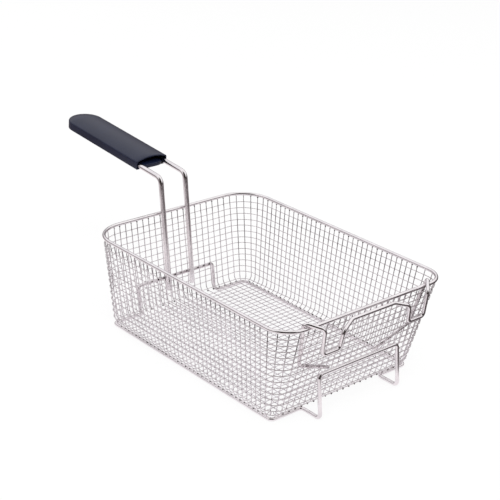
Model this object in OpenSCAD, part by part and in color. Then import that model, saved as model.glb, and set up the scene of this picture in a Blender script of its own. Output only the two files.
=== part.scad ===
// Deep fryer basket: woven wire tray on a wire frame, with a front hook and a gripped handle.
// X runs across the basket, the handle is at +Y, the hook at -Y, and Z = 0 is the table.

/* [Basket] */
// Width across the rim, from wire centre to wire centre
rim_width = 184; // [170:1:200]
// Length of the rim, from wire centre to wire centre
rim_length = 259; // [245:1:275]
// Height of the rim wire's centre above the table
rim_height = 91; // [84:1:100]
// Width of the mesh tray where its walls meet the floor
floor_width = 161.2; // [150:0.1:165]
// Length of the mesh tray where its walls meet the floor
floor_length = 223.3; // [212:0.1:228]
// How far the floor sits towards the handle
floor_shift = 5.6; // [2:0.1:8]
// Radius of the rim's two front corners
front_corner_r = 21; // [18:0.5:24]
// Radius of the rim's two rear corners
rear_corner_r = 30; // [25:0.5:32]
// Radius of the tray's corners at the floor
floor_corner_r = 12; // [10:0.5:14]
// Radius of the bend from wall to floor
floor_bend_r = 6; // [5:0.5:8]

/* [Mesh] */
// Diameter of the mesh wires
mesh_wire_d = 1.2; // [0.9:0.05:1.3]
// Number of mesh wires that cross the tray and climb its long sides
cross_wires = 14; // [10:1:14]
// Number of mesh wires that run along the tray and climb its ends
long_wires = 10; // [8:1:10]
// Number of mesh wires that go all round the walls
ring_wires = 8; // [6:1:9]
// Number of short mesh wires up each rounded corner
corner_wires = 3; // [2:1:3]
// Height of the lowest ring above the table
first_ring = 11; // [10.5:0.5:14]
// Drop from the rim's centre to the highest ring
top_ring_drop = 6; // [5:0.5:8]

/* [Frame] */
// Diameter of the rim wire
rim_wire_d = 3.2; // [2.8:0.1:3.6]
// Diameter of the base frame wire
frame_wire_d = 3.4; // [3:0.1:3.8]
// Bend radius of the base frame wire
frame_bend_r = 4; // [3.8:0.1:5]
// How far the base frame's corners sit inside the tray's floor line
frame_inset = 2.6; // [2.4:0.1:3.5]
// Half of the distance between the two front feet
foot_x = 45; // [40:0.5:50]
// How far the front bar stands out from the tray's front wall
bar_standoff = 6.3; // [5:0.1:9]
// How far the front bar leans back from the feet
foot_lean = 4; // [3:0.5:5]
// Height of the front bar's centre
front_bar_z = 40; // [34:0.5:44]
// Half of the width of the raised rear bar
rear_bar_x = 44.5; // [40:0.5:50]
// Height of the raised rear bar's centre
rear_bar_z = 26.4; // [24:0.2:30]

/* [Hook] */
// Diameter of the hook wire
hook_wire_d = 3.2; // [2.8:0.1:3.4]
// Half of the distance between the places where the hook wire crosses the rim
hook_cross_x = 70; // [66:0.5:70]
// Half of the distance between the outer legs of the two loops
loop_outer_x = 58; // [55:0.5:60]
// Half of the distance between the inner legs of the two loops
loop_inner_x = 39; // [36:0.5:42]
// How far the loops stand out from the rim
loop_reach = 9.5; // [8:0.5:12]
// Height of the bottom of the loops
loop_bottom_z = 68; // [64:0.5:72]
// Height of the loops' inner shoulders
loop_shoulder_z = 84; // [82:0.5:86]
// Half of the length of the hook's middle bar
hook_bar_x = 24; // [20:0.5:28]
// How far the hook's middle bar stands out from the rim
hook_bar_reach = 4.6; // [4.2:0.2:6]
// Height of the hook's middle bar
hook_bar_z = 88.4; // [86:0.2:90]
// Height of the knee of each tail inside the front wall
tail_knee_z = 52; // [48:0.5:56]
// Half of the distance between the knees of the two tails
tail_knee_x = 63; // [60:0.5:64]
// Height of the tail ends
tail_end_z = 37; // [34:0.5:42]
// Half of the distance between the two tail ends
tail_end_x = 26; // [22:0.5:34]

/* [Handle] */
// Diameter of the handle wire
handle_wire_d = 4.8; // [4.4:0.1:5]
// Half of the distance between the handle's two legs
leg_x = 14; // [12:0.5:16]
// Height of the lower ends of the legs
leg_end_z = 17; // [14:0.5:22]
// Height at which the legs turn back into the grip
handle_bend_z = 125; // [120:0.5:130]
// Bend radius of the handle wire
handle_bend_r = 7; // [6:0.5:9]
// Rise of the grip, in degrees
grip_rise = 4.9; // [3:0.1:8]
// Distance from the handle's bend to the grip
grip_start = 33; // [28:0.5:40]
// Length of the grip
grip_length = 128; // [115:1:140]
// Width of the grip
grip_width = 35; // [34:0.5:38]
// Height of the grip's flat side
grip_side = 8; // [7:0.5:9]
// Rise of the grip's domed top above its flat side
grip_dome = 3.4; // [2.5:0.1:4.5]
// Depth of plastic below the handle wire's centre
grip_sole = 3.6; // [3.3:0.1:4.2]
// Depth of the recess between the wires at the grip's mouth
mouth_depth = 10; // [6:0.5:14]

/* [Hidden] */
$fn = 32;

// Named clearances and small allowances
weld_gap = 0.05;
seat_gap = 0.1;
bend_thinning = 0.06;
bend_lap = 1.5;
mesh_sides = 6;
layer = 0.75 * mesh_wire_d;

// Levels and reference lines of the tray
floor_z = frame_wire_d + seat_gap + mesh_wire_d / 2;
front_floor_y = floor_shift - floor_length / 2;
rear_floor_y = floor_shift + floor_length / 2;
front_rim_y = -rim_length / 2;
rear_rim_y = rim_length / 2;
wall_top_z = rim_height - rim_wire_d / 2 - weld_gap;

// The tray's walls, from floor line to rim line, as functions of height
function rise(z) = (z - floor_z) / (rim_height - floor_z);
function mix(a, b, t) = a + (b - a) * t;
function side_x(z) = mix(floor_width, rim_width, rise(z)) / 2;
function front_y(z) = mix(front_floor_y, front_rim_y, rise(z));
function rear_y(z) = mix(rear_floor_y, rear_rim_y, rise(z));

// Vectors and the path of a bent wire
function unit(v) = v / norm(v);
function turn(a, b, c) = acos(max(-1, min(1, unit(b - a) * unit(c - b))));
function pick(list, k) = list[(k + len(list)) % len(list)];
function setback(path, r, k) = pick(r, k) * tan(turn(pick(path, k - 1), pick(path, k), pick(path, k + 1)) / 2);
function flip(path) = [for (k = [len(path) - 1 : -1 : 0]) [-path[k].x, path[k].y, path[k].z]];

module placed(u, v, w, at) {
    multmatrix([[u.x, v.x, w.x, at.x], [u.y, v.y, w.y, at.y], [u.z, v.z, w.z, at.z], [0, 0, 0, 1]])
        children();
}

module straight(a, b, d, sides) {
    w = unit(b - a);
    side = abs(w.z) < 0.9 ? [0, 0, 1] : [1, 0, 0];
    u = unit(cross(side, w));
    placed(u, cross(w, u), w, a) cylinder(h = norm(b - a), d = d, $fn = sides);
}

module bend(a, b, c, r, d, sides) {
    angle = turn(a, b, c);
    into = unit(b - a);
    axis = unit(cross(into, unit(c - b)));
    out = cross(into, axis);
    placed(out, into, axis, b - into * r * tan(angle / 2) - out * r)
        rotate(-bend_lap)
        rotate_extrude(angle = angle + 2 * bend_lap, $fn = 48)
        translate([r, 0]) circle(d = d, $fn = sides);
}

// A round wire along a path of corners, with one bend radius for each corner.
// Each bend is a hair thinner than the straight runs, and its ends reach into them.
module wire(path, r, d, closed = false, sides = 32) {
    n = len(path);
    for (k = [0 : closed ? n - 1 : n - 2]) {
        a = path[k];
        b = pick(path, k + 1);
        way = unit(b - a);
        cut_a = closed || k > 0 ? setback(path, r, k) : 0;
        cut_b = closed || k < n - 2 ? setback(path, r, k + 1) : 0;
        straight(a + way * cut_a, b - way * cut_b, d, sides);
    }
    for (k = [closed ? 0 : 1 : closed ? n - 1 : n - 2])
        bend(pick(path, k - 1), path[k], pick(path, k + 1), r[k], d - bend_thinning, sides);
}

// One ring of the tray at a height, pushed out past the upright wires
module mesh_ring(z) {
    x = side_x(z) + layer;
    front = front_y(z) - layer;
    rear = rear_y(z) + layer;
    front_r = mix(floor_corner_r, front_corner_r, rise(z)) + layer;
    rear_r = mix(floor_corner_r, rear_corner_r, rise(z)) + layer;
    wire([[-x, front, z], [x, front, z], [x, rear, z], [-x, rear, z]],
        [front_r, front_r, rear_r, rear_r], mesh_wire_d, true, mesh_sides);
}

module cross_wire(y) {
    z = floor_z + layer;
    top = side_x(wall_top_z);
    foot = side_x(z);
    wire([[-top, y, wall_top_z], [-foot, y, z], [foot, y, z], [top, y, wall_top_z]],
        [0, floor_bend_r, floor_bend_r, 0], mesh_wire_d, false, mesh_sides);
}

module long_wire(x) {
    wire([[x, front_y(wall_top_z), wall_top_z], [x, front_floor_y, floor_z],
        [x, rear_floor_y, floor_z], [x, rear_y(wall_top_z), wall_top_z]],
        [0, floor_bend_r, floor_bend_r, 0], mesh_wire_d, false, mesh_sides);
}

// Centre of a rounded corner at a height, and a point on its arc
function corner_r(end, z) = mix(floor_corner_r, end < 0 ? front_corner_r : rear_corner_r, rise(z));
function corner_at(side, end, z, angle) =
    let (r = corner_r(end, z), wall = end < 0 ? front_y(z) : rear_y(z))
    [side * (side_x(z) - r + r * cos(angle)), wall - end * r + end * r * sin(angle), z];

module corner_wire(side, end, angle) {
    foot = corner_at(side, end, floor_z + layer, angle);
    inward = [-side * cos(angle), -end * sin(angle), 0];
    wire([corner_at(side, end, wall_top_z, angle), foot, foot + inward * 2 * floor_bend_r],
        [0, floor_bend_r, 0], mesh_wire_d, false, mesh_sides);
}

module mesh_basket() color("silver") {
    last_ring = rim_height - top_ring_drop;
    for (k = [0 : ring_wires - 1])
        mesh_ring(mix(first_ring, last_ring, k / (ring_wires - 1)));
    cross_front = front_floor_y + floor_corner_r;
    cross_rear = rear_floor_y - floor_corner_r;
    for (k = [0 : cross_wires - 1])
        cross_wire(mix(cross_front, cross_rear, k / (cross_wires - 1)));
    long_side = floor_width / 2 - floor_corner_r;
    for (k = [0 : long_wires - 1])
        long_wire(mix(-long_side, long_side, k / (long_wires - 1)));
    for (side = [-1, 1], end = [-1, 1], k = [1 : corner_wires])
        corner_wire(side, end, 90 * k / (corner_wires + 1));
}

module rim_wire() color("gainsboro") {
    x = rim_width / 2;
    wire([[-x, front_rim_y, rim_height], [x, front_rim_y, rim_height],
        [x, rear_rim_y, rim_height], [-x, rear_rim_y, rim_height]],
        [front_corner_r, front_corner_r, rear_corner_r, rear_corner_r], rim_wire_d, true);
}

// One loop: under the floor's edge, out and up at the front as two feet and a bar,
// and out and up behind the rear wall as a raised bar that the handle is welded to.
module base_frame_wire() color("gainsboro") {
    z = frame_wire_d / 2;
    x = floor_width / 2 - frame_inset;
    front = front_floor_y + frame_inset;
    rear = rear_floor_y - frame_inset;
    foot = front_y(front_bar_z) - bar_standoff - foot_lean;
    behind = layer + mesh_wire_d / 2 + seat_gap + frame_wire_d / 2;
    step = rear_y(z) + behind;
    jog_r = 0.48 * (step - rear);
    tight_r = frame_bend_r;
    right = [[x, front, z], [foot_x, front, z], [foot_x, foot, z],
        [foot_x, foot + foot_lean, front_bar_z]];
    back = [[-x, rear, z], [-rear_bar_x, rear, z], [-rear_bar_x, step, z],
        [-rear_bar_x, rear_y(rear_bar_z) + behind, rear_bar_z]];
    path = concat([[x, rear, z]], right, flip(right), back, flip(back));
    wire([for (k = [1 : len(path) - 1]) path[k]],
        [tight_r, tight_r, tight_r, tight_r, tight_r, tight_r, tight_r, tight_r,
        tight_r, jog_r, jog_r, tight_r, tight_r, jog_r, jog_r, tight_r],
        frame_wire_d, true);
}

// One wire: a tail inside the front wall, over the rim, a loop, the middle bar and back.
module front_hook_wire() color("gainsboro") {
    inside = mesh_wire_d / 2 + seat_gap + hook_wire_d / 2;
    wrap_r = (rim_wire_d + hook_wire_d) / 2 + 2 * seat_gap;
    over = [hook_cross_x, front_rim_y + 0.72 * wrap_r, rim_height + 1.34 * wrap_r];
    right = [
        [tail_end_x, front_y(tail_end_z) + inside, tail_end_z],
        [tail_knee_x, front_y(tail_knee_z) + inside, tail_knee_z],
        over,
        [loop_outer_x, front_rim_y - loop_reach, rim_height],
        [loop_outer_x - 0.5, front_rim_y - loop_reach + 2.5, loop_bottom_z],
        [loop_inner_x, front_rim_y - loop_reach + 2.5, loop_bottom_z],
        [loop_inner_x - 1.5, front_rim_y - loop_reach, loop_shoulder_z],
        [hook_bar_x, front_rim_y - hook_bar_reach, hook_bar_z]
    ];
    radii = [0, 7, wrap_r, 3.5, 3.5, 3.5, 5, 7];
    wire(concat(right, flip(right)), [for (k = [0 : 15]) radii[k < 8 ? k : 15 - k]], hook_wire_d);
}

// The grip's frame: its origin is where the handle turns, and Y runs back along the grip
handle_inset = (handle_wire_d + rim_wire_d) / 2 + weld_gap;
wall_inset = (handle_wire_d + mesh_wire_d) / 2 + seat_gap;
leg_lean = (rear_rim_y - handle_inset - rear_y(rear_bar_z) + wall_inset) / (rim_height - rear_bar_z);
function leg_y(z) = rear_rim_y - handle_inset + (z - rim_height) * leg_lean;
handle_turn = [0, leg_y(handle_bend_z), handle_bend_z];

module along_grip() {
    translate(handle_turn) rotate([grip_rise, 0, 0]) children();
}

module handle_run(d) {
    back = grip_start + grip_length - grip_width / 2;
    tip = handle_turn + back * [0, cos(grip_rise), sin(grip_rise)];
    right = [[leg_x, leg_y(leg_end_z), leg_end_z], [leg_x, handle_turn.y, handle_turn.z],
        [leg_x, tip.y, tip.z]];
    wire(concat(right, flip(right)),
        [0, handle_bend_r, handle_bend_r, handle_bend_r, handle_bend_r, 0], d);
}

module handle_wire() color("gainsboro") {
    handle_run(handle_wire_d);
}

module grip_section() {
    r = (grip_width * grip_width / 4 + grip_dome * grip_dome) / (2 * grip_dome);
    translate([-grip_width / 2, -grip_sole]) square([grip_width, grip_side]);
    intersection() {
        translate([-grip_width / 2, grip_side - grip_sole - 1]) square([grip_width, grip_dome + 2]);
        translate([0, grip_side - grip_sole + grip_dome - r]) circle(r = r, $fn = 240);
    }
}

module grip_plan() {
    translate([-grip_width / 2, grip_start]) square([grip_width, grip_length - grip_width / 2]);
    translate([0, grip_start + grip_length - grip_width / 2]) circle(d = grip_width, $fn = 96);
}

// A moulded sleeve, domed on top, flat at the sides and round at the far end
module grip() color("darkslategray") {
    far = grip_start + grip_length;
    tall = grip_side + grip_dome;
    mouth_w = 2 * leg_x - handle_wire_d - 4 * seat_gap;
    mouth_h = handle_wire_d - 2 * seat_gap;
    difference() {
        along_grip() intersection() {
            translate([0, far, 0]) rotate([90, 0, 0]) linear_extrude(far) grip_section();
            translate([0, 0, -grip_sole]) linear_extrude(tall + 1) grip_plan();
        }
        handle_run(handle_wire_d + 2 * seat_gap);
        along_grip() translate([-mouth_w / 2, grip_start - 1, -mouth_h / 2])
            cube([mouth_w, mouth_depth + 1, mouth_h]);
    }
}

mesh_basket();
rim_wire();
base_frame_wire();
front_hook_wire();
handle_wire();
grip();
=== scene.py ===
import math

import bmesh
import bpy
import numpy as np
from bpy.props import FloatProperty, FloatVectorProperty, IntProperty, PointerProperty
from mathutils import Matrix


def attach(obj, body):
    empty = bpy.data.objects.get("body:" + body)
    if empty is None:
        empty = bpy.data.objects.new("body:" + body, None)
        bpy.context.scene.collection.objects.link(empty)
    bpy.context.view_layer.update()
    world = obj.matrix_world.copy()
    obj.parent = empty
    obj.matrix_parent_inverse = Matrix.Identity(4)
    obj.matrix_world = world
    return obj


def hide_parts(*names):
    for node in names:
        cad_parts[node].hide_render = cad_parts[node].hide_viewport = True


bl_info = {
    "name": "Deep fryer basket",
    "version": (1, 0, 0),
    "blender": (4, 5, 0),
    "location": "3D View > Sidebar > Basket",
    "description": "Welded wire fryer basket with a bent wire frame, a front hook and a gripped handle",
    "category": "Add Mesh",
}

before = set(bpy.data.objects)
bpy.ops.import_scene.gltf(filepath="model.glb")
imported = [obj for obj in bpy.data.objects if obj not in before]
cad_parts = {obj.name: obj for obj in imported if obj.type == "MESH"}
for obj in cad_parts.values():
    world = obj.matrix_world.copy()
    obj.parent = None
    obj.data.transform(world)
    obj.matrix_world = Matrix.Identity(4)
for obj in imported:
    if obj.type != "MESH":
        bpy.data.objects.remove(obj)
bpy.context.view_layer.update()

# Sizes of the solids in millimetres, as the part's source has them
RIM_WIDTH, RIM_LENGTH, RIM_HEIGHT = 184.0, 259.0, 91.0
FLOOR_WIDTH, FLOOR_LENGTH, FLOOR_SHIFT = 161.2, 223.3, 5.6
FRONT_CORNER_R, REAR_CORNER_R, FLOOR_CORNER_R, FLOOR_BEND_R = 21.0, 30.0, 12.0, 6.0
SOLID_MESH_D, RIM_D, FRAME_D, HOOK_D, HANDLE_D = 1.2, 3.2, 3.4, 3.2, 4.8
FRAME_BEND_R, FRAME_INSET, FOOT_X, BAR_STANDOFF, FOOT_LEAN = 4.0, 2.6, 45.0, 6.3, 4.0
FRONT_BAR_Z, REAR_BAR_X, REAR_BAR_Z = 40.0, 44.5, 26.4
HOOK_CROSS_X, LOOP_OUTER_X, LOOP_INNER_X, LOOP_REACH = 70.0, 58.0, 39.0, 9.5
LOOP_BOTTOM_Z, LOOP_SHOULDER_Z, HOOK_BAR_X, HOOK_BAR_REACH, HOOK_BAR_Z = 68.0, 84.0, 24.0, 4.6, 88.4
TAIL_KNEE_X, TAIL_KNEE_Z, TAIL_END_X, TAIL_END_Z = 63.0, 52.0, 26.0, 37.0
LEG_X, LEG_END_Z, HANDLE_BEND_Z, HANDLE_BEND_R = 14.0, 17.0, 125.0, 7.0
GRIP_RISE, GRIP_START, GRIP_LENGTH, GRIP_WIDTH = math.radians(4.9), 33.0, 128.0, 35.0
GRIP_SIDE, GRIP_DOME, GRIP_SOLE = 8.0, 3.4, 3.6
SEAT_GAP, WELD_GAP = 0.1, 0.05
FLOOR_Z = FRAME_D + SEAT_GAP + SOLID_MESH_D / 2
LAYER = 0.75 * SOLID_MESH_D

# The photograph's camera, in millimetres and in the frame of the solids
CAMERA_PLACE = (-675.504, -752.219, 528.704)
CAMERA_RIGHT = (0.759921068, -0.649302649, 0.030430914)
CAMERA_DOWN = (-0.235376566, -0.318511290, -0.918231142)
CAMERA_AHEAD = (0.605902503, 0.690620466, -0.394874068)
SENSOR_MM = 36.0
LENS_MM = 91.352


class TrayMeshSizes(bpy.types.PropertyGroup):
    upright_d: FloatProperty(
        name="Upright diameter", description="Diameter of the wires up the walls, in mm", default=0.82, min=0.6, max=1.3
    )
    ring_d: FloatProperty(
        name="Ring diameter", description="Diameter of the wires round the walls, in mm", default=0.74, min=0.6, max=1.3
    )
    rings: IntProperty(
        name="Rings", description="Wires that go all round the walls", default=14, min=4, max=20
    )
    side_pitch: FloatProperty(
        name="Side pitch", description="Spacing at the floor of the wires up the long sides, in mm", default=5.60
    )
    side_fan: FloatProperty(
        name="Side fan", description="How much wider that spacing is at the rim, in mm", default=0.50
    )
    end_pitch: FloatProperty(
        name="End pitch", description="Spacing of the wires up the two ends, in mm", default=6.78
    )
    waver: FloatProperty(
        name="Waver", description="How far a wire strays from its true line, in mm", default=0.22
    )
    sides: IntProperty(name="Sides", description="Sides of a mesh wire", default=8, min=5, max=12)


class WireWorkSizes(bpy.types.PropertyGroup):
    sides: IntProperty(name="Sides", description="Sides of the thick wires", default=24, min=12, max=48)
    bend_steps: IntProperty(
        name="Bend steps", description="Points round each bend of a thick wire", default=12, min=6, max=24
    )
    weld_spread: FloatProperty(
        name="Weld size", description="Radius of a small weld spot, in mm", default=0.9, min=0.4, max=2.0
    )


class GripSizes(bpy.types.PropertyGroup):
    edge_r: FloatProperty(name="Lower edge", description="Rounding of the lower edge, in mm", default=0.8)
    crease_r: FloatProperty(
        name="Crease", description="Rounding between the flat side and the dome, in mm", default=1.6
    )
    tongue_reach: FloatProperty(
        name="Tongue reach", description="How far the tongue stands out of the mouth, in mm", default=4.0
    )


class BasketFinishes(bpy.types.PropertyGroup):
    bright_steel: FloatVectorProperty(
        name="Bright wire", description="Colour of the plated wire", subtype="COLOR", size=3,
        min=0, max=1, default=(0.94, 0.895, 0.91)
    )
    mesh_steel: FloatVectorProperty(
        name="Mesh wire", description="Colour of the thin mesh wire", subtype="COLOR", size=3,
        min=0, max=1, default=(0.82, 0.775, 0.80)
    )
    weld_steel: FloatVectorProperty(
        name="Weld", description="Colour of the scorched weld spots", subtype="COLOR", size=3,
        min=0, max=1, default=(0.05, 0.04, 0.038)
    )
    grip_plastic: FloatVectorProperty(
        name="Grip", description="Colour of the moulded grip", subtype="COLOR", size=3,
        min=0, max=1, default=(0.006, 0.009, 0.028)
    )


class Value:
    """A number that comes out of a socket. Sums and products on it add Math nodes to its material."""

    def __init__(self, finish, socket):
        self.finish, self.socket = finish, socket

    def _maths(self, operation, first, second):
        return self.finish.number("ShaderNodeMath", {"operation": operation}, {0: first, 1: second})

    def __add__(self, other):
        return self._maths("ADD", self, other)

    def __radd__(self, other):
        return self._maths("ADD", other, self)

    def __sub__(self, other):
        return self._maths("SUBTRACT", self, other)

    def __rsub__(self, other):
        return self._maths("SUBTRACT", other, self)

    def __mul__(self, other):
        return self._maths("MULTIPLY", self, other)

    def __rmul__(self, other):
        return self._maths("MULTIPLY", other, self)

    def __truediv__(self, other):
        return self._maths("DIVIDE", self, other)

    def __pow__(self, other):
        return self._maths("POWER", self, other)


class Finish:
    """The node tree of one material or of the world, with one method that adds any node."""

    def __init__(self, tree):
        self.tree = tree
        tree.nodes.clear()

    def add(self, kind, settings=None, inputs=None):
        """Adds a node. Settings come first, and a ramp's stops are given as (place, colour) pairs."""
        node = self.tree.nodes.new(kind)
        for name, setting in (settings or {}).items():
            if name == "stops":
                ramp = node.color_ramp
                while len(ramp.elements) < len(setting):
                    ramp.elements.new(0.5)
                for element, (place, colour) in zip(ramp.elements, setting):
                    element.position, element.color = place, (*colour, 1.0)
            else:
                setattr(node, name, setting)
        for name, given in (inputs or {}).items():
            if isinstance(given, Value):
                given = given.socket
            if isinstance(given, bpy.types.NodeSocket):
                self.tree.links.new(given, node.inputs[name])
            else:
                node.inputs[name].default_value = given
        return node

    def number(self, kind, settings=None, inputs=None, output=0):
        return Value(self, self.add(kind, settings, inputs).outputs[output])

    def place(self):
        """The point on the piece in its own frame, in metres."""
        return self.add("ShaderNodeTexCoord").outputs["Object"]

    def noise(self, scale, detail=3.0, roughness=0.5, at=None):
        inputs = {"Vector": at or self.place(), "Scale": scale, "Detail": detail, "Roughness": roughness}
        return self.number("ShaderNodeTexNoise", None, inputs, "Fac")

    def between(self, share, low, high):
        """A colour between two colours, by a share from 0 to 1."""
        inputs = {0: share, 6: low if not isinstance(low, tuple) else (*low, 1.0),
                  7: high if not isinstance(high, tuple) else (*high, 1.0)}
        node = self.add("ShaderNodeMix", {"data_type": "RGBA", "clamp_factor": True}, inputs)
        return node.outputs[2]

    def bump(self, height, strength, distance):
        """A bumped normal. The distance is in metres."""
        inputs = {"Height": height, "Strength": strength, "Distance": distance}
        return self.add("ShaderNodeBump", None, inputs).outputs["Normal"]

    def shade(self, **inputs):
        """The material's one main shader, joined to its output."""
        named = {name.replace("_", " "): given for name, given in inputs.items()}
        shader = self.add("ShaderNodeBsdfPrincipled", None, named)
        self.add("ShaderNodeOutputMaterial", None, {"Surface": shader.outputs["BSDF"]})
        return shader


def new_finish(name):
    material = bpy.data.materials.new(name)
    material.use_nodes = True
    return material, Finish(material.node_tree)


def plated_wire(name, colour, roughness, streaks, front_painted_shade=0.0):
    """Bright plated steel: faint long stains, fine drawn streaks, a slightly uneven gloss, and a
    painted brown shade, standing in for darker reflections, that comes in towards the tray's front by a given share."""
    material, f = new_finish(name)
    at = f.place()
    stain = f.noise(55.0, 3.0, 0.6, at)
    grain = f.noise(streaks, 2.0, 0.5, at)
    dull = tuple(c * 0.80 for c in colour)
    shade = f.between((stain - 0.35) * 2.2, colour, dull)
    if front_painted_shade:
        # Painted shade: the colour turns brown towards the tray's front, in place of the darker reflections the front
        # wall shows.
        y = Value(f, f.add("ShaderNodeSeparateXYZ", None, {0: at}).outputs["Y"])
        toward_front = (y + 0.085) * -40.0
        brown = (colour[0] * 0.42, colour[1] * 0.36, colour[2] * 0.36)
        clamped = f.number("ShaderNodeClamp", None, {"Value": toward_front})
        shade = f.between(clamped * front_painted_shade, shade, brown)
    f.shade(
        Base_Color=shade,
        Metallic=1.0,
        Roughness=roughness + stain * 0.10 + grain * 0.04,
        Normal=f.bump(grain, 0.25, 0.00004),
    )
    return material


def scorched_weld(name, colour):
    """Dull, dark metal with pits, as a spot weld leaves it."""
    material, f = new_finish(name)
    pits = f.noise(1400.0, 3.0, 0.6)
    brown = tuple(min(1.0, c * 1.9) for c in colour)
    f.shade(
        Base_Color=f.between(pits, colour, brown),
        Metallic=0.7,
        Roughness=0.42 + pits * 0.2,
        Normal=f.bump(pits, 0.6, 0.0002),
    )
    return material


def grip_plastic(name, colour):
    """Dark moulded plastic: a very fine grain, a soft gloss and faint rubbed patches."""
    material, f = new_finish(name)
    at = f.place()
    grain = f.noise(2600.0, 2.0, 0.5, at)
    rub = f.noise(38.0, 4.0, 0.6, at)
    worn = tuple(c * 1.35 + 0.004 for c in colour)
    f.shade(
        Base_Color=f.between((rub - 0.42) * 2.5, colour, worn),
        Roughness=0.24 + rub * 0.08 + grain * 0.05,
        Specular_IOR_Level=0.36,
        Normal=f.bump(grain, 0.18, 0.00005),
    )
    return material


def give(obj, material):
    obj.data.materials.clear()
    obj.data.materials.append(material)


def new_piece(name, points, faces, nodes, material):
    mesh = bpy.data.meshes.new(name)
    corner_count = [array.size for array in faces]
    sizes = np.concatenate([np.full(len(array), array.shape[1], np.int32) for array in faces])
    loops = np.concatenate([array.astype(np.int32).ravel() for array in faces])
    mesh.vertices.add(len(points))
    mesh.vertices.foreach_set("co", (points * 0.001).astype(np.float32).ravel())
    mesh.loops.add(sum(corner_count))
    mesh.loops.foreach_set("vertex_index", loops)
    mesh.polygons.add(len(sizes))
    mesh.polygons.foreach_set("loop_start", np.concatenate([[0], np.cumsum(sizes)[:-1]]).astype(np.int32))
    mesh.polygons.foreach_set("loop_total", sizes)
    mesh.polygons.foreach_set("use_smooth", np.ones(len(sizes), bool))
    mesh.update(calc_edges=True)
    if mesh.validate():
        raise RuntimeError(name + " has a broken face")
    obj = bpy.data.objects.new(name, mesh)
    bpy.context.scene.collection.objects.link(obj)
    give(obj, material)
    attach(obj, "root")
    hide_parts(*nodes)
    return obj


def grid_faces(rows, columns, loop_rows=False, loop_columns=False, first=0):
    """Quads of a grid of points whose index is row times columns plus column."""
    r = np.arange(rows if loop_rows else rows - 1)[:, None]
    c = np.arange(columns if loop_columns else columns - 1)[None, :]
    r2, c2 = (r + 1) % rows, (c + 1) % columns
    quads = np.stack([r * columns + c, r * columns + c2, r2 * columns + c2, r2 * columns + c], -1)
    return first + quads.reshape(-1, 4)


def unit(v):
    return v / np.maximum(np.linalg.norm(v, axis=-1, keepdims=True), 1e-12)


def tangents(path, closed):
    """Direction along a path at each of its points, from the point before to the point after."""
    if closed:
        return unit(np.roll(path, -1, 0) - np.roll(path, 1, 0))
    ahead = np.concatenate([path[1:], path[-1:] * 2 - path[-2:-1]])
    before = np.concatenate([path[:1] * 2 - path[1:2], path[:-1]])
    return unit(ahead - before)


def carried_circle(path, radius, sides, closed=False, across=None):
    """A circle carried along a path: point = path + radius (n cos a + b sin a), where n lies across
    the path as near as it can to a given direction and b = t x n. Open ends are rounded over."""
    t = tangents(path, closed)
    if across is None:
        tries = unit(np.array([[1, 1, 1], [1, -1, 0.6], [0.3, 1, -0.8], [0, 0, 1], [1, 0.2, 0.1], [-0.4, 1, 0.2]]))
        clear = np.linalg.norm(np.cross(t[None], tries[:, None]), axis=2).min(1)
        across = np.broadcast_to(tries[clear.argmax()], path.shape)
    n = unit(across - t * (across * t).sum(1, keepdims=True))
    b = np.cross(t, n)
    radius = np.broadcast_to(np.asarray(radius, float), (len(path),)).copy()
    if not closed:
        lead = radius[0] * np.array([0.55, 0.25, 0.0])[:, None]
        tail = radius[-1] * np.array([0.0, 0.25, 0.55])[:, None]
        path = np.concatenate([path[:1] + t[:1] * (radius[0] * 0.12) * np.array([[-1.0], [-0.4]]), path,
                               path[-1:] + t[-1:] * (radius[-1] * 0.12) * np.array([[0.4], [1.0]])])
        radius = np.concatenate([radius[0] * np.array([0.62, 0.9]), radius, radius[-1] * np.array([0.9, 0.62])])
        n = np.concatenate([n[:1], n[:1], n, n[-1:], n[-1:]])
        b = np.concatenate([b[:1], b[:1], b, b[-1:], b[-1:]])
    a = np.arange(sides) * (2 * math.pi / sides)
    points = path[:, None] + radius[:, None, None] * (
        n[:, None] * np.cos(a)[None, :, None] + b[:, None] * np.sin(a)[None, :, None]
    )
    faces = [grid_faces(len(path), sides, closed, True)]
    if not closed:
        last = (len(path) - 1) * sides
        faces.append(np.arange(sides)[::-1][None])
        faces.append(last + np.arange(sides)[None])
    return points.reshape(-1, 3), faces


def joined(tubes):
    """Puts several point and face sets into one."""
    points, faces, first = [], [], 0
    for tube_points, tube_faces in tubes:
        points.append(tube_points)
        faces += [array + first for array in tube_faces]
        first += len(tube_points)
    return np.concatenate(points), faces


def bent_path(corners, radii, steps, closed=False, spacing=None):
    """The path of a bent wire. At each corner it follows the arc of the given radius that touches
    both runs: centre + r (cos a, sin a) in the plane of the two runs, and it is straight between."""
    corners = np.asarray(corners, float)
    count = len(corners)
    pieces = []
    for k in range(count):
        here = corners[k]
        if not closed and k in (0, count - 1):
            pieces.append(here[None])
            continue
        into = unit(here - corners[k - 1])
        out = unit(corners[(k + 1) % count] - here)
        angle = math.acos(float(np.clip(into @ out, -1, 1)))
        if angle < 1e-4:
            pieces.append(here[None])
            continue
        radius = radii[k]
        side = unit(out - into * (into @ out))
        start = here - into * radius * math.tan(angle / 2)
        a = np.linspace(0, angle, steps + 1)[:, None]
        pieces.append(start + radius * (np.sin(a) * into + (1 - np.cos(a)) * side))
    path = np.concatenate(pieces)
    if spacing:
        full = np.concatenate([path, path[:1]]) if closed else path
        along = np.concatenate([[0], np.cumsum(np.linalg.norm(np.diff(full, axis=0), axis=1))])
        extra = np.arange(spacing, along[-1], spacing)
        gap = np.abs(extra[:, None] - along[None]).min(1)
        stops = np.sort(np.concatenate([along[:-1] if closed else along, extra[gap > 0.4 * spacing]]))
        path = np.stack([np.interp(stops, along, full[:, c]) for c in range(3)], 1)
    return path


def flipped(corners):
    return [(-x, y, z) for x, y, z in reversed(corners)]


# The tray's walls as functions of height


def rise(z):
    return (np.asarray(z, float) - FLOOR_Z) / (RIM_HEIGHT - FLOOR_Z)


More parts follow.
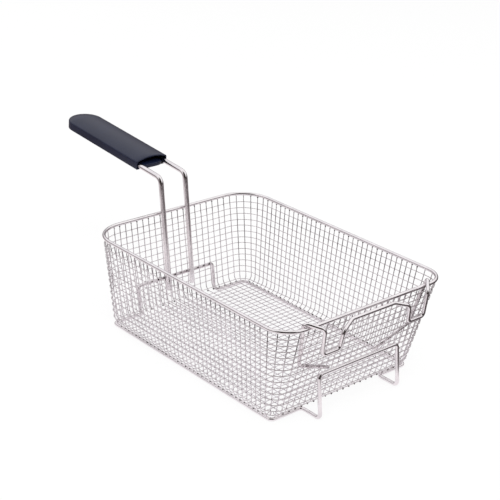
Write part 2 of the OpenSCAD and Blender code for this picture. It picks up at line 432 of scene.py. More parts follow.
def blend(low, high, t):
    return low + (high - low) * t


def half_width(z):
    return blend(FLOOR_WIDTH, RIM_WIDTH, rise(z)) / 2


def front_y(z):
    return blend(FLOOR_SHIFT - FLOOR_LENGTH / 2, -RIM_LENGTH / 2, rise(z))


def rear_y(z):
    return blend(FLOOR_SHIFT + FLOOR_LENGTH / 2, RIM_LENGTH / 2, rise(z))


def wall_marks(z):
    """Half width, front, rear and corner radii of the wall at a height, and the distance along it
    from the front end of the right side to the end of each of its eight stretches."""
    x, f, r = half_width(z), front_y(z), rear_y(z)
    fr = blend(FLOOR_CORNER_R, FRONT_CORNER_R, rise(z))
    rr = blend(FLOOR_CORNER_R, REAR_CORNER_R, rise(z))
    side, back, ahead = r - rr - f - fr, 2 * (x - rr), 2 * (x - fr)
    rear_arc, front_arc = math.pi / 2 * rr, math.pi / 2 * fr
    ends = np.cumsum(np.stack(np.broadcast_arrays(
        side, rear_arc, back, rear_arc, side, front_arc, ahead, front_arc), -1), -1)
    return x, f, r, fr, rr, ends


def wall_point(z, s):
    """The point and the outward direction on the wall at a height z and a distance s along it.
    The outline is a rectangle with rounded corners: straight runs at the half width, the front and
    the rear, and quarter circles centre + r (cos a, sin a) between them."""
    z, s = np.broadcast_arrays(np.asarray(z, float), np.asarray(s, float))
    x, f, r, fr, rr, ends = wall_marks(z)
    s = np.mod(s, ends[..., 7])
    e = [ends[..., k] for k in range(8)]
    stretch = (s[..., None] >= ends).sum(-1)
    quarter = math.pi / 2
    angle = np.select(
        [stretch == k for k in range(8)],
        [0 * s, (s - e[0]) / rr, 0 * s + quarter, quarter + (s - e[2]) / rr, 0 * s + 2 * quarter,
         2 * quarter + (s - e[4]) / fr, 0 * s + 3 * quarter, 3 * quarter + (s - e[6]) / fr],
    )
    radius = np.where((stretch == 0) | (stretch > 3), fr, rr)
    out_x, out_y = np.cos(angle), np.sin(angle)
    cx = np.select(
        [stretch == k for k in range(8)],
        [x, x - rr, x - rr - (s - e[1]), rr - x, -x, fr - x, fr - x + (s - e[5]), x - fr],
    )
    cy = np.select(
        [stretch == k for k in range(8)],
        [f + fr + s, r - rr, r, r - rr, r - rr - (s - e[3]), f + fr, f, f + fr],
    )
    arc = np.isin(stretch, (1, 3, 5, 7)) * radius
    point = np.stack([cx + arc * out_x, cy + arc * out_y, z], -1)
    return point, np.stack([out_x, out_y, 0 * z], -1)


def along_side(z, y):
    """Distance along the wall of the point of the right side at a given y."""
    x, f, r, fr, rr, ends = wall_marks(z)
    low, high = f + fr, r - rr
    past = np.clip(y - high, 0, None)
    before = np.clip(low - y, 0, None)
    flat = np.clip(y, low, high) - low
    return flat + rr * np.arcsin(np.minimum(past / rr, 1)) - fr * np.arcsin(np.minimum(before / fr, 1))


def along_end(x_at, radius, half):
    """Distance from the middle of an end wall to a point at a given x, round the corner's arc."""
    flat = half - radius
    past = np.clip(np.abs(x_at) - flat, 0, None)
    return np.sign(x_at) * (np.minimum(np.abs(x_at), flat) + radius * np.arcsin(np.minimum(past / radius, 1)))


SIDE_WIRES, END_WIRES = range(-16, 20), range(-10, 11)
FRONT_CORNER_WIRES, REAR_CORNER_WIRES = 4, 2


def upright_distances(mesh, z):
    """Distance along the wall, at a height, of every wire that climbs it, in order round the tray.
    Along a side the place is start + pitch k + a little k squared, and the pitch grows with height."""
    z = float(z)
    t = float(rise(z))
    x, f, r, fr, rr, ends = wall_marks(z)
    k, m = np.array(SIDE_WIRES), np.array(END_WIRES)
    pitch = mesh.side_pitch + mesh.side_fan * t
    right_side = along_side(z, -2.0 + 1.8 * t + pitch * k + 0.005 * k**2)
    left_side = along_side(z, -4.0 + pitch * k)
    rear = ends[4] / 2 - along_end((-1.8 + mesh.end_pitch * m + 0.0235 * m**2)[::-1], rr, x)
    left = ends[4] - left_side[::-1]
    front = ends[5] + (ends[6] - ends[5]) / 2 + along_end(2.2 + mesh.end_pitch * m, fr, x)

    def corner(a, b, count):
        return a + (b - a) * np.arange(1, count + 1) / (count + 1)

    return np.concatenate([
        right_side, corner(right_side[-1], rear[0], REAR_CORNER_WIRES), rear,
        corner(rear[-1], left[0], REAR_CORNER_WIRES), left,
        corner(left[-1], front[0], FRONT_CORNER_WIRES), front,
        corner(front[-1], right_side[0] + ends[7], FRONT_CORNER_WIRES),
    ])


# Heights of the top ring and spacing below it, at shares of the way round from the right side's
# front end: right front, right middle, rear right, rear left, left middle, left front, front
RING_WAY = (0.0, 0.14, 0.30, 0.52, 0.66, 0.79, 0.84, 0.96, 1.0)
RING_TOP = (84.4, 83.6, 82.6, 82.3, 82.9, 84.2, 84.8, 84.8, 84.4)
RING_PITCH = (6.10, 5.85, 5.92, 5.96, 5.93, 6.15, 6.28, 6.28, 6.10)
LOWEST_RING = 5.4


def mesh_floor_z(mesh):
    """Height of the floor's long wires: they lie just over the frame."""
    return FRAME_D + SEAT_GAP + mesh.upright_d / 2


def rim_underside():
    return RIM_HEIGHT - RIM_D / 2 - WELD_GAP


def waver(along, seed, amount):
    """How far a hand-made wire strays: two slow sine waves with a start of their own for each wire."""
    first, second = np.modf(seed * 0.618034)[0] * 2 * math.pi, np.modf(seed * 0.414214)[0] * 2 * math.pi
    return amount * (0.6 * np.sin(along / 21.0 + first) + 0.4 * np.sin(along / 9.0 + second))


def through_wire(top_a, foot_a, foot_b, top_b, lift, mesh, seed):
    """A wire down one wall, across the floor and up the other wall, with a touching arc at each
    turn. It strays sideways by a hair, most in the middle of each run."""
    raised = np.array([0, 0, lift])
    path = bent_path([top_a, foot_a + raised, foot_b + raised, top_b], [0, FLOOR_BEND_R, FLOOR_BEND_R, 0], 8, False, 12.0)
    along = np.concatenate([[0], np.cumsum(np.linalg.norm(np.diff(path, axis=0), axis=1))])
    lateral = np.cross([0, 0, 1.0], unit(foot_b - foot_a))
    calm = np.clip(np.minimum(along, along[-1] - along) / 20.0, 0, 1)
    path = path + lateral * (waver(along, seed, mesh.waver) * calm)[:, None]
    across = np.broadcast_to(lateral, path.shape)
    return carried_circle(path, mesh.upright_d / 2, mesh.sides, False, across)


def tray_marks(mesh):
    """Feet, tops and outward directions of all uprights, and which of them climb each wall."""
    low, top = mesh_floor_z(mesh), rim_underside() - 0.2
    feet, out = wall_point(FLOOR_Z, upright_distances(mesh, FLOOR_Z))
    tops, _ = wall_point(top, upright_distances(mesh, top))
    feet = feet.copy()
    feet[:, 2] = low
    ny, nx = len(SIDE_WIRES), len(END_WIRES)
    right = np.arange(ny)
    rear = ny + REAR_CORNER_WIRES + np.arange(nx)
    left = rear[-1] + 1 + REAR_CORNER_WIRES + np.arange(ny)
    front = left[-1] + 1 + FRONT_CORNER_WIRES + np.arange(nx)
    corners = np.setdiff1d(np.arange(len(feet)), np.concatenate([right, rear, left, front]))
    return feet, out, tops, {"right": right, "rear": rear, "left": left, "front": front, "corners": corners}


def ring_path(mesh, way, j):
    """Points of ring j at shares of the way round, and the wall's outward directions there. A ring
    lies outside the uprights, and near the floor it follows the arc of their turn."""
    lift = (mesh.upright_d + mesh.ring_d) / 2 * 0.94
    z = np.interp(way, RING_WAY, RING_TOP) - j * np.interp(way, RING_WAY, RING_PITCH)
    z = np.maximum(z, LOWEST_RING) + waver(way * 900.0, j, mesh.waver * 0.8) * min(1.0, j + 0.3)
    point, outward = wall_point(z, way * wall_marks(z)[5][:, 7])
    over_floor = np.clip((z - mesh_floor_z(mesh)) / FLOOR_BEND_R, 0, 1)
    inset = FLOOR_BEND_R * (1 - np.sqrt(1 - (1 - over_floor) ** 2)) * 0.92
    tilt = np.stack([outward[:, 0] * over_floor, outward[:, 1] * over_floor, over_floor - 1], 1)
    path = point - outward * inset[:, None] + unit(tilt) * lift
    path[:, 2] = np.maximum(path[:, 2], FRAME_D + mesh.ring_d / 2 + 0.05)
    return path, outward


def crossings(mesh):
    """The places on the front and the left wall where rings cross uprights, just inside the rings."""
    places = []
    for j in range(mesh.rings - 1):
        z = RING_TOP[1] - j * RING_PITCH[1]
        way = upright_distances(mesh, z) / wall_marks(z)[5][7]
        path, outward = ring_path(mesh, np.mod(way, 1.0), j)
        seen = np.minimum(outward[:, 0], outward[:, 1]) < -0.3
        places.append((path - outward * (mesh.ring_d * 0.1))[seen])
    return np.concatenate(places)


def tray_wires(mesh):
    """All mesh wires as tubes: those across the tray, those along it, and the rings outside them."""
    feet, out, tops, walls = tray_marks(mesh)
    across_wires, along_wires, corner_wires, rings = [], [], [], []
    for a, b in zip(walls["left"][::-1], walls["right"]):
        across_wires.append(through_wire(tops[a], feet[a], feet[b], tops[b], mesh.upright_d * 0.9, mesh, a))
    for a, b in zip(walls["front"], walls["rear"][::-1]):
        along_wires.append(through_wire(tops[a], feet[a], feet[b], tops[b], 0.0, mesh, a + 7))
    for v in walls["corners"]:
        end = feet[v] - out[v] * (1.15 * FLOOR_BEND_R)
        path = bent_path([tops[v], feet[v], end], [0, FLOOR_BEND_R, 0], 8)
        corner_wires.append(carried_circle(path, mesh.upright_d / 2, mesh.sides))
    way = np.linspace(0, 1, 420, endpoint=False)
    for j in range(mesh.rings):
        path, outward = ring_path(mesh, way, j)
        rings.append(carried_circle(path, mesh.ring_d / 2, mesh.sides, True, outward))
    return across_wires, along_wires, corner_wires, rings


# Paths of the thick wires, corner by corner


def rim_corners():
    x, y, z = RIM_WIDTH / 2, RIM_LENGTH / 2, RIM_HEIGHT
    corners = [(-x, -y, z), (x, -y, z), (x, y, z), (-x, y, z)]
    return corners, [FRONT_CORNER_R, FRONT_CORNER_R, REAR_CORNER_R, REAR_CORNER_R]


def base_corners():
    z = FRAME_D / 2
    x = FLOOR_WIDTH / 2 - FRAME_INSET
    front = FLOOR_SHIFT - FLOOR_LENGTH / 2 + FRAME_INSET
    rear = FLOOR_SHIFT + FLOOR_LENGTH / 2 - FRAME_INSET
    foot = float(front_y(FRONT_BAR_Z)) - BAR_STANDOFF - FOOT_LEAN
    behind = LAYER + SOLID_MESH_D / 2 + SEAT_GAP + FRAME_D / 2
    step = float(rear_y(z)) + behind
    jog = 0.48 * (step - rear)
    right = [(x, front, z), (FOOT_X, front, z), (FOOT_X, foot, z), (FOOT_X, foot + FOOT_LEAN, FRONT_BAR_Z)]
    back = [(-x, rear, z), (-REAR_BAR_X, rear, z), (-REAR_BAR_X, step, z),
            (-REAR_BAR_X, float(rear_y(REAR_BAR_Z)) + behind, REAR_BAR_Z)]
    tight = FRAME_BEND_R
    radii = [tight] * 9 + [jog, jog, tight, tight, jog, jog, tight]
    return right + flipped(right) + back + flipped(back), radii


def hook_corners():
    inside = SOLID_MESH_D / 2 + SEAT_GAP + HOOK_D / 2
    wrap = (RIM_D + HOOK_D) / 2 + 2 * SEAT_GAP
    edge = -RIM_LENGTH / 2
    right = [
        (TAIL_END_X, float(front_y(TAIL_END_Z)) + inside, TAIL_END_Z),
        (TAIL_KNEE_X, float(front_y(TAIL_KNEE_Z)) + inside, TAIL_KNEE_Z),
        (HOOK_CROSS_X, edge + 0.72 * wrap, RIM_HEIGHT + 1.34 * wrap),
        (LOOP_OUTER_X, edge - LOOP_REACH, RIM_HEIGHT),
        (LOOP_OUTER_X - 0.5, edge - LOOP_REACH + 2.5, LOOP_BOTTOM_Z),
        (LOOP_INNER_X, edge - LOOP_REACH + 2.5, LOOP_BOTTOM_Z),
        (LOOP_INNER_X - 1.5, edge - LOOP_REACH, LOOP_SHOULDER_Z),
        (HOOK_BAR_X, edge - HOOK_BAR_REACH, HOOK_BAR_Z),
    ]
    radii = [0, 7, wrap, 3.5, 3.5, 3.5, 5, 7]
    return right + flipped(right), radii + radii[::-1]


HANDLE_INSET = (HANDLE_D + RIM_D) / 2 + WELD_GAP
WALL_INSET = (HANDLE_D + SOLID_MESH_D) / 2 + SEAT_GAP
LEG_LEAN = (RIM_LENGTH / 2 - HANDLE_INSET - float(rear_y(REAR_BAR_Z)) + WALL_INSET) / (RIM_HEIGHT - REAR_BAR_Z)


def leg_y(z):
    return RIM_LENGTH / 2 - HANDLE_INSET + (z - RIM_HEIGHT) * LEG_LEAN


HANDLE_TURN = np.array([0, leg_y(HANDLE_BEND_Z), HANDLE_BEND_Z])


def handle_corners():
    """The handle wire from one leg's end, up and back into the grip, and down to the other's."""
    back = GRIP_START + GRIP_LENGTH - GRIP_WIDTH / 2
    y = HANDLE_TURN[1] + back * math.cos(GRIP_RISE)
    z = HANDLE_TURN[2] + back * math.sin(GRIP_RISE)
    right = [(LEG_X, leg_y(LEG_END_Z), LEG_END_Z), (LEG_X, HANDLE_TURN[1], HANDLE_TURN[2]), (LEG_X, y, z)]
    r = HANDLE_BEND_R
    return right + flipped(right), [0, r, r, r, r, 0]


def on_grip(points):
    """Turns points from the grip's own frame (x, along, up) into the frame of the solids."""
    x, along, up = np.moveaxis(np.asarray(points, float), -1, 0)
    c, s = math.cos(GRIP_RISE), math.sin(GRIP_RISE)
    return np.stack([x + HANDLE_TURN[0], HANDLE_TURN[1] + along * c - up * s, HANDLE_TURN[2] + along * s + up * c], -1)


def grip_profile(sizes, wall):
    """Half of the grip's section, from the middle of its sole to the top of its dome, as pairs
    (distance from the middle, height). The dome is an arc, and the inner face lies a wall's
    thickness inside the outer one along its normal."""
    half, low = GRIP_WIDTH / 2, -GRIP_SOLE
    side_top, crown = GRIP_SIDE - GRIP_SOLE, GRIP_SIDE - GRIP_SOLE + GRIP_DOME
    arc_r = (half**2 + GRIP_DOME**2) / (2 * GRIP_DOME)
    a = np.linspace(math.asin((half - 2.4) / arc_r), 0, 15)
    dome = np.stack([arc_r * np.sin(a), 0 * a, crown - arc_r + arc_r * np.cos(a)], 1)
    ledge = np.array([[half, 0, side_top]])
    lower = np.array([[0, 0, low], [half * 0.5, 0, low], [half, 0, low]])
    path = bent_path(np.concatenate([lower, ledge, dome[:1]]), [0, 0, sizes.edge_r, sizes.crease_r, 0], 7)
    path = np.concatenate([path, dome[1:]])
    t = tangents(path, False)
    t[0], t[-1] = (1, 0, 0), (-1, 0, 0)
    normal = np.stack([t[:, 2], 0 * t[:, 0], -t[:, 0]], 1)
    share = np.clip((path[:, 2] - low) / (crown - low), 0, 1)
    thick = wall[0] + (wall[1] - wall[0]) * share**2 + 0 * path[:, 0]
    inner = path - normal * thick[:, None]
    inner[0, 0] = inner[-1, 0] = 0
    return path[:, (0, 2)], inner[:, (0, 2)]


def round_the_plan(profile, start, centre, straight_steps, turn_steps):
    """Carries half a section round the grip's plan: back along one side, in half a turn about the
    far end's centre, and forward along the other side. A point is (r cos a, centre + r sin a, h)."""
    r, h = profile[:, 0][:, None], profile[:, 1][:, None]
    v = np.linspace(0, 1, straight_steps + 1)[None, :-1]
    a = np.linspace(0, math.pi, turn_steps + 1)[None]
    go_y = start[:, None] + (centre - start[:, None]) * v
    go = np.stack(np.broadcast_arrays(r + 0 * v, go_y, h + 0 * v), -1)
    turn = np.stack(np.broadcast_arrays(r * np.cos(a), centre + r * np.sin(a), h + 0 * a), -1)
    back = go[:, ::-1] * np.array([-1, 1, 1])
    return np.concatenate([go, turn, back], 1)


def close_seams(obj):
    """Merges the points where the halves of a shape meet and turns every face outwards."""
    work = bmesh.new()
    work.from_mesh(obj.data)
    bmesh.ops.remove_doubles(work, verts=work.verts, dist=2e-6)
    bmesh.ops.dissolve_degenerate(work, edges=work.edges, dist=1e-7)
    bmesh.ops.recalc_face_normals(work, faces=work.faces)
    work.to_mesh(obj.data)
    work.free()
    obj.data.polygons.foreach_set("use_smooth", np.ones(len(obj.data.polygons), bool))
    obj.data.update()


def grip_shell(sizes):
    """The grip's sleeve: an outer and an inner face carried round its plan, joined at the mouth by
    a lip whose section is half a circle across the wall's thickness."""
    outer, inner = grip_profile(sizes, (0.85, 1.6))
    centre = GRIP_START + GRIP_LENGTH - GRIP_WIDTH / 2
    thick = np.linalg.norm(outer - inner, axis=1)
    start = GRIP_START + thick / 2
    outside = round_the_plan(outer, start, centre, 16, 24)
    inside = round_the_plan(inner, start, centre, 16, 24)[:, ::-1]
    a = np.linspace(0, math.pi, 7)[None, 1:-1]
    middle, reach = (outer + inner) / 2, (outer - inner) / 2
    flat = middle[:, None] + reach[:, None] * np.cos(a)[..., None]
    forward = start[:, None] - thick[:, None] / 2 * np.sin(a)
    lip = np.stack([flat[..., 0], forward, flat[..., 1]], -1)
    loop = np.concatenate([outside, lip * np.array([-1, 1, 1]), inside, lip[:, ::-1]], 1)
    rows, columns = loop.shape[:2]
    return on_grip(loop).reshape(-1, 3), [grid_faces(rows, columns, False, True)]


def grip_tongue(sizes):
    """The tab between the wires at the mouth: a flat slab whose plan is straight at the sides and a
    half ellipse in front. Its rounded section scales the plan about its middle."""
    half, back = LEG_X - HANDLE_D / 2 - 0.35, 12.0
    low, high = -GRIP_SOLE + 1.0, 1.0
    a = np.linspace(0, 2 * math.pi, 48, endpoint=False)
    plan_x = half * np.sign(np.cos(a)) * np.abs(np.cos(a)) ** 0.55
    ahead = np.where(np.sin(a) < 0, sizes.tongue_reach, back)
    plan_y = ahead * np.sign(np.sin(a)) * np.abs(np.sin(a)) ** 0.8
    edge = 0.8
    b = np.linspace(-math.pi / 2, math.pi / 2, 7)
    scale = np.concatenate([[0, 0.6], 1 - (1 - np.cos(b)) * edge / half, [0.6, 0]])
    height = np.concatenate([[low, low], np.where(b < 0, low + edge * (1 + np.sin(b)), high - edge * (1 - np.sin(b))),
                             [high + 0.15, high + 0.25]])
    x = scale[:, None] * plan_x[None]
    y = GRIP_START + 1.0 + scale[:, None] * plan_y[None]
    points = np.stack([x, y, np.broadcast_to(height[:, None], x.shape)], -1)
    return on_grip(points).reshape(-1, 3), [grid_faces(len(scale), len(a), False, True)]


def weld_spots(places, radii, squash):
    """Small flattened balls: centre + (a cos u cos v, a sin u cos v, b sin v) at every place, with
    one point at each pole."""
    around = 8
    u = np.arange(around) * (2 * math.pi / around)
    v = np.radians([-45, 0, 45])
    ball = np.stack([
        np.cos(v)[:, None] * np.cos(u)[None], np.cos(v)[:, None] * np.sin(u)[None],
        np.broadcast_to(np.sin(v)[:, None], (len(v), around))], -1).reshape(-1, 3)
    ball = np.concatenate([ball, [[0, 0, -1], [0, 0, 1]]])
    low_pole, high_pole = len(ball) - 2, len(ball) - 1
    c = np.arange(around)
    after = (c + 1) % around
    top_row = (len(v) - 1) * around
    below = np.stack([np.full(around, low_pole), after, c], 1)
    above = np.stack([np.full(around, high_pole), top_row + c, top_row + after], 1)
    size = np.stack([radii, radii, radii * squash], -1)
    points = places[:, None] + ball[None] * size[:, None]
    first = (np.arange(len(places)) * len(ball))[:, None, None]
    faces = [(part[None] + first).reshape(-1, part.shape[1])
             for part in (grid_faces(len(v), around, False, True), below, above)]
    return points.reshape(-1, 3), faces


class BASKET_OT_mesh_tray(bpy.types.Operator):
    """Makes the tray's mesh: wires across it, wires along it, and the rings round its walls"""

    bl_idname = "basket.mesh_tray"
    bl_label = "Mesh tray"

    def execute(self, context):
        mesh, colours = context.scene.basket_mesh, context.scene.basket_finishes
        upright_metal = plated_wire("Upright wire", tuple(colours.mesh_steel), 0.20, 900.0)
        # The rings take a painted shade towards the tray's front, at a share of 0.45.
        ring_metal = plated_wire("Ring wire", tuple(colours.bright_steel), 0.20, 900.0, 0.45)
        across_wires, along_wires, corner_wires, rings = tray_wires(mesh)
        for name, tubes, metal in (
            ("tray_cross_wires", across_wires, upright_metal), ("tray_long_wires", along_wires, upright_metal),
            ("tray_corner_wires", corner_wires, upright_metal), ("tray_rings", rings, ring_metal),
        ):
            points, faces = joined(tubes)
            new_piece(name, points, faces, ["mesh_basket"], metal)
        return {"FINISHED"}


class BASKET_OT_welds(bpy.types.Operator):
    """Puts the small dark weld spots where the mesh meets the rim and the base, and the larger
    ones where thick wires meet"""

    bl_idname = "basket.welds"
    bl_label = "Weld spots"

    def execute(self, context):
        scene = context.scene
        mesh, wires, colours = scene.basket_mesh, scene.basket_wires, scene.basket_finishes
        scorched = scorched_weld("Scorched weld", tuple(colours.weld_steel))
        feet, out, tops, walls = tray_marks(mesh)
        r = wires.weld_spread
        at_rim = tops[np.concatenate([walls["rear"], walls["right"]])] + np.array([0, 0, -0.35])
        climbing = np.concatenate([walls[name] for name in ("right", "rear", "left", "front")])
        at_base = feet[climbing] - out[climbing] * (FRAME_INSET - 0.4)
        at_base[:, 2] = FRAME_D - 0.1
        crossing = walls["rear"][np.abs(feet[walls["rear"], 0]) < REAR_BAR_X - 3]
        at_bar = blend(feet[crossing], tops[crossing], ((REAR_BAR_Z - 4.0) / (rim_underside() - 4.0)))
        at_bar[:, 1] = float(rear_y(REAR_BAR_Z)) + LAYER + 0.5
        at_bar[:, 2] = REAR_BAR_Z + 1.2
        at_legs = np.array([[side * LEG_X, float(rear_y(REAR_BAR_Z)) - 0.2, REAR_BAR_Z + 0.8] for side in (-1, 1)])
        small = np.concatenate([at_rim, at_base, at_legs, at_bar])
        size = r * (0.75 + 0.35 * np.modf(np.arange(len(small)) * 0.618)[0])
        size[:len(at_rim)] *= 0.8
        size[-len(at_bar):] *= 1.25
        size[len(at_rim) + len(at_base):-len(at_bar)] *= 1.8
        points, faces = weld_spots(small, size, 0.8)
        new_piece("mesh_welds", points, faces, ["mesh_basket"], scorched)
        knots = crossings(mesh)
        bright = plated_wire("Crossing weld", tuple(colours.bright_steel), 0.28, 1400.0)
        points, faces = weld_spots(knots, np.full(len(knots), 0.78), 0.9)
        new_piece("crossing_welds", points, faces, ["mesh_basket"], bright)
        return {"FINISHED"}


class BASKET_OT_thick_wires(bpy.types.Operator):
    """Bends the rim, the base frame, the hook and the handle wire"""

    bl_idname = "basket.thick_wires"
    bl_label = "Thick wires"

    def execute(self, context):
        sizes, colours = context.scene.basket_wires, context.scene.basket_finishes
        metal = plated_wire("Thick wire", tuple(colours.bright_steel), 0.12, 500.0)
        wires = (
            ("rim", "rim_wire", rim_corners(), RIM_D, True),
            ("base_frame", "base_frame_wire", base_corners(), FRAME_D, True),
            ("front_hook", "front_hook_wire", hook_corners(), HOOK_D, False),
            ("handle", "handle_wire", handle_corners(), HANDLE_D, False),
        )
        for name, node, (corners, radii), diameter, closed in wires:
            path = bent_path(corners, radii, sizes.bend_steps, closed, 12.0)
            points, faces = carried_circle(path, diameter / 2, sizes.sides, closed)
            new_piece(name, points, faces, [node], metal)
        return {"FINISHED"}


class BASKET_OT_grip(bpy.types.Operator):
    """Moulds the grip's sleeve and the tongue in its mouth"""

    bl_idname = "basket.grip"
    bl_label = "Grip"

    def execute(self, context):
        sizes, colours = context.scene.basket_grip, context.scene.basket_finishes
        plastic = grip_plastic("Grip plastic", tuple(colours.grip_plastic))
        for name, (points, faces) in (("grip_sleeve", grip_shell(sizes)), ("grip_tongue", grip_tongue(sizes))):
            piece = new_piece(name, points, faces, ["grip"], plastic)
            close_seams(piece)
        return {"FINISHED"}


class BASKET_OT_stage(bpy.types.Operator):
    """Sets the white floor, whose colour in reflections is painted, the soft lights, the world and the photograph's
    camera
    """

    bl_idname = "basket.stage"
    bl_label = "Floor, lights and camera"

    def execute(self, context):
        scene = context.scene
        scene.view_settings.view_transform = "Standard"
        self.floor()
        self.world(scene)
        self.lamp("Key", (-0.9, -0.9, 1.9), 1.6, 30.0, False)
        self.lamp("Fill", (1.5, -0.4, 1.3), 1.4, 9.0, False)
        self.lamp("Back", (0.1, 1.8, 1.4), 1.2, 9.0, False)
        self.camera(scene)
        return {"FINISHED"}

    def floor(self):
        half = 4.0
        mesh = bpy.data.meshes.new("floor")
        mesh.from_pydata([(-half, -half, 0), (half, -half, 0), (half, half, 0), (-half, half, 0)], [], [(0, 1, 2, 3)])
        floor = bpy.data.objects.new("floor", mesh)
        bpy.context.scene.collection.objects.link(floor)
        material, f = new_finish("White floor")
        # Painted reflection: glossy rays see this painted, glowing colour instead of the white floor. It holds painted
        # shade further from the basket (away), a painted dark sector beside the basket's front right (aside) and a
        # painted dark patch towards the camera (nearer, dusk), so the wires reflect darker there.
        split = f.add("ShaderNodeSeparateXYZ", None, {0: f.place()})
        x, y = Value(f, split.outputs["X"]), Value(f, split.outputs["Y"])
        beyond_x = f.number("ShaderNodeMath", {"operation": "ABSOLUTE"}, {0: x}) - 0.080
        beyond_y = f.number("ShaderNodeMath", {"operation": "ABSOLUTE"}, {0: y - 0.005}) - 0.110
        beyond = f.number("ShaderNodeMath", {"operation": "MAXIMUM"}, {0: beyond_x, 1: beyond_y})
        away = f.add("ShaderNodeValToRGB", {"stops": [
            (0.0, (0.86, 0.86, 0.90)), (0.30, (0.94, 0.91, 0.925)), (0.60, (0.90, 0.86, 0.875)),
            (0.85, (0.30, 0.26, 0.27))]}, {"Fac": beyond * 1.8 + 0.2})
        aside = f.number("ShaderNodeMapRange", {"interpolation_type": "SMOOTHSTEP"},
                         {"Value": x * 0.6 - y * 0.8, "From Min": 0.145, "From Max": 0.185})
        # Painted shade in reflections: a dark sector beside the basket's front right.
        painted_reflection_shade = f.between(aside, away.outputs["Color"], (0.10, 0.085, 0.088))
        nearer = f.number("ShaderNodeMapRange", {"interpolation_type": "SMOOTHSTEP"},
                          {"Value": x * -0.65 - y * 0.76, "From Min": 0.42, "From Max": 0.62})
        dusk = f.between(nearer, painted_reflection_shade, (0.05, 0.04, 0.038))
        paper = f.add("ShaderNodeBsdfDiffuse", None, {"Color": (0.97, 0.97, 0.97, 1)})
        glow = f.add("ShaderNodeEmission", None, {"Color": (1, 1, 1, 1), "Strength": 1.0})
        mirrored = f.add("ShaderNodeEmission", None, {"Color": dusk, "Strength": 1.0})
        rays = f.add("ShaderNodeLightPath")
        seen = Value(f, rays.outputs["Is Camera Ray"]) * 0.86
        first = f.add("ShaderNodeMixShader", None, {0: seen, 1: paper.outputs[0], 2: glow.outputs[0]})
        shiny = Value(f, rays.outputs["Is Glossy Ray"]) + Value(f, rays.outputs["Is Transmission Ray"])
        both = f.add("ShaderNodeMixShader", None, {0: shiny, 1: first.outputs[0], 2: mirrored.outputs[0]})
        f.add("ShaderNodeOutputMaterial", None, {"Surface": both.outputs[0]})
        give(floor, material)

    def world(self, scene):
        world = bpy.data.worlds.new("Studio")
        scene.world = world
        world.use_nodes = True
        f = Finish(world.node_tree)
        rays = f.add("ShaderNodeLightPath")
        split = f.add("ShaderNodeSeparateXYZ", None, {0: f.add("ShaderNodeTexCoord").outputs["Generated"]})
        x, y, z = (Value(f, split.outputs[axis]) for axis in "XYZ")
        overhead = f.add("ShaderNodeValToRGB", {"stops": [
            (0.0, (0.10, 0.088, 0.088)), (0.22, (0.16, 0.145, 0.15)), (0.34, (0.95, 0.94, 0.95)),
            (0.60, (1.0, 1.0, 1.0))]}, {"Fac": z})
        behind = f.add("ShaderNodeValToRGB", {"stops": [
            (0.0, (0.17, 0.155, 0.16)), (0.16, (0.25, 0.235, 0.24)), (0.34, (0.72, 0.70, 0.72)),
            (0.55, (0.95, 0.95, 0.97))]}, {"Fac": z})
        rearward = f.number("ShaderNodeMapRange", None, {"Value": y, "From Min": 0.35, "From Max": 0.65})
        sky = f.between(rearward, overhead.outputs["Color"], behind.outputs["Color"])
        nearer = f.number("ShaderNodeMapRange", {"interpolation_type": "SMOOTHSTEP"},
                          {"Value": (x * -0.65 - y * 0.76) / (1.02 - z * z) ** 0.5, "From Min": 0.55, "From Max": 0.85})
        low = f.number("ShaderNodeMapRange", {"interpolation_type": "SMOOTHSTEP"},
                       {"Value": z, "From Min": 0.97, "From Max": 0.85})
        sky = f.between(nearer * low, sky, (0.030, 0.023, 0.020))
        soft = f.add("ShaderNodeBackground", None, {"Color": (1, 1, 1, 1), "Strength": 0.55})
        mirrored = f.add("ShaderNodeBackground", None, {"Color": sky, "Strength": 1.0})
        white = f.add("ShaderNodeBackground", None, {"Color": (1, 1, 1, 1), "Strength": 1.0})
        first = f.add("ShaderNodeMixShader", None, {
            0: rays.outputs["Is Glossy Ray"], 1: soft.outputs[0], 2: mirrored.outputs[0]})
        last = f.add("ShaderNodeMixShader", None, {
            0: rays.outputs["Is Camera Ray"], 1: first.outputs[0], 2: white.outputs[0]})
        f.add("ShaderNodeOutputWorld", None, {"Surface": last.outputs[0]})

    def lamp(self, name, place, size, power, mirrored):
        light = bpy.data.lights.new(name, "AREA")
        light.shape, light.size, light.energy = "SQUARE", size, power
        obj = bpy.data.objects.new(name, light)
        obj.visible_glossy = mirrored
        bpy.context.scene.collection.objects.link(obj)
        place = np.array(place)
        back = unit(place - np.array([0, 0.05, 0.08]))
        right = unit(np.cross([0, 0, 1.0], back))
        up = np.cross(back, right)
        matrix = np.eye(4)
        matrix[:3, 0], matrix[:3, 1], matrix[:3, 2], matrix[:3, 3] = right, up, back, place
        obj.matrix_world = Matrix(matrix.tolist())

    def camera(self, scene):
        data = bpy.data.cameras.new("Camera")
        data.sensor_width, data.lens = SENSOR_MM, LENS_MM
        data.clip_start, data.clip_end = 0.05, 50.0
        obj = bpy.data.objects.new("Camera", data)
        scene.collection.objects.link(obj)
        matrix = np.eye(4)
        matrix[:3, 0] = CAMERA_RIGHT
        matrix[:3, 1] = -np.array(CAMERA_DOWN)
        matrix[:3, 2] = -np.array(CAMERA_AHEAD)
        matrix[:3, 3] = np.array(CAMERA_PLACE) * 0.001
        obj.matrix_world = Matrix(matrix.tolist())
        scene.camera = obj


class BASKET_PT_sidebar(bpy.types.Panel):
    """Lists the basket's pieces"""

    bl_idname = "BASKET_PT_sidebar"
    bl_label = "Deep fryer basket"
    bl_space_type = "VIEW_3D"
    bl_region_type = "UI"
    bl_category = "Basket"

    def draw(self, context):
        for name in STEPS:
            self.layout.operator("basket." + name)
        for group in ("basket_mesh", "basket_wires", "basket_grip", "basket_finishes"):
            settings = getattr(context.scene, group)
            box = self.layout.box()
            for name in settings.__annotations__:
                box.prop(settings, name)


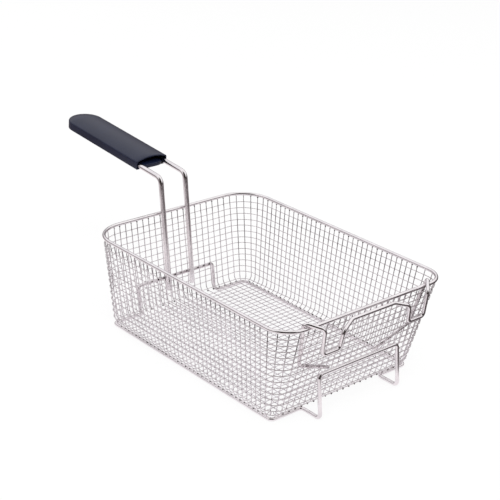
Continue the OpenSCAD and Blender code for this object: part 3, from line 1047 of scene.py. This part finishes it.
STEPS = ("mesh_tray", "thick_wires", "welds", "grip", "stage")
GROUPS = {
    "basket_mesh": TrayMeshSizes,
    "basket_wires": WireWorkSizes,
    "basket_grip": GripSizes,
    "basket_finishes": BasketFinishes,
}
CLASSES = (
    *GROUPS.values(), BASKET_OT_mesh_tray, BASKET_OT_thick_wires, BASKET_OT_welds, BASKET_OT_grip,
    BASKET_OT_stage, BASKET_PT_sidebar,
)


def register():
    for cls in CLASSES:
        bpy.utils.register_class(cls)
    for name, group in GROUPS.items():
        setattr(bpy.types.Scene, name, PointerProperty(type=group))


def unregister():
    for name in GROUPS:
        delattr(bpy.types.Scene, name)
    for cls in reversed(CLASSES):
        bpy.utils.unregister_class(cls)


def main():
    register()
    for name in STEPS:
        getattr(bpy.ops.basket, name)()


if __name__ == "__main__":
    main()
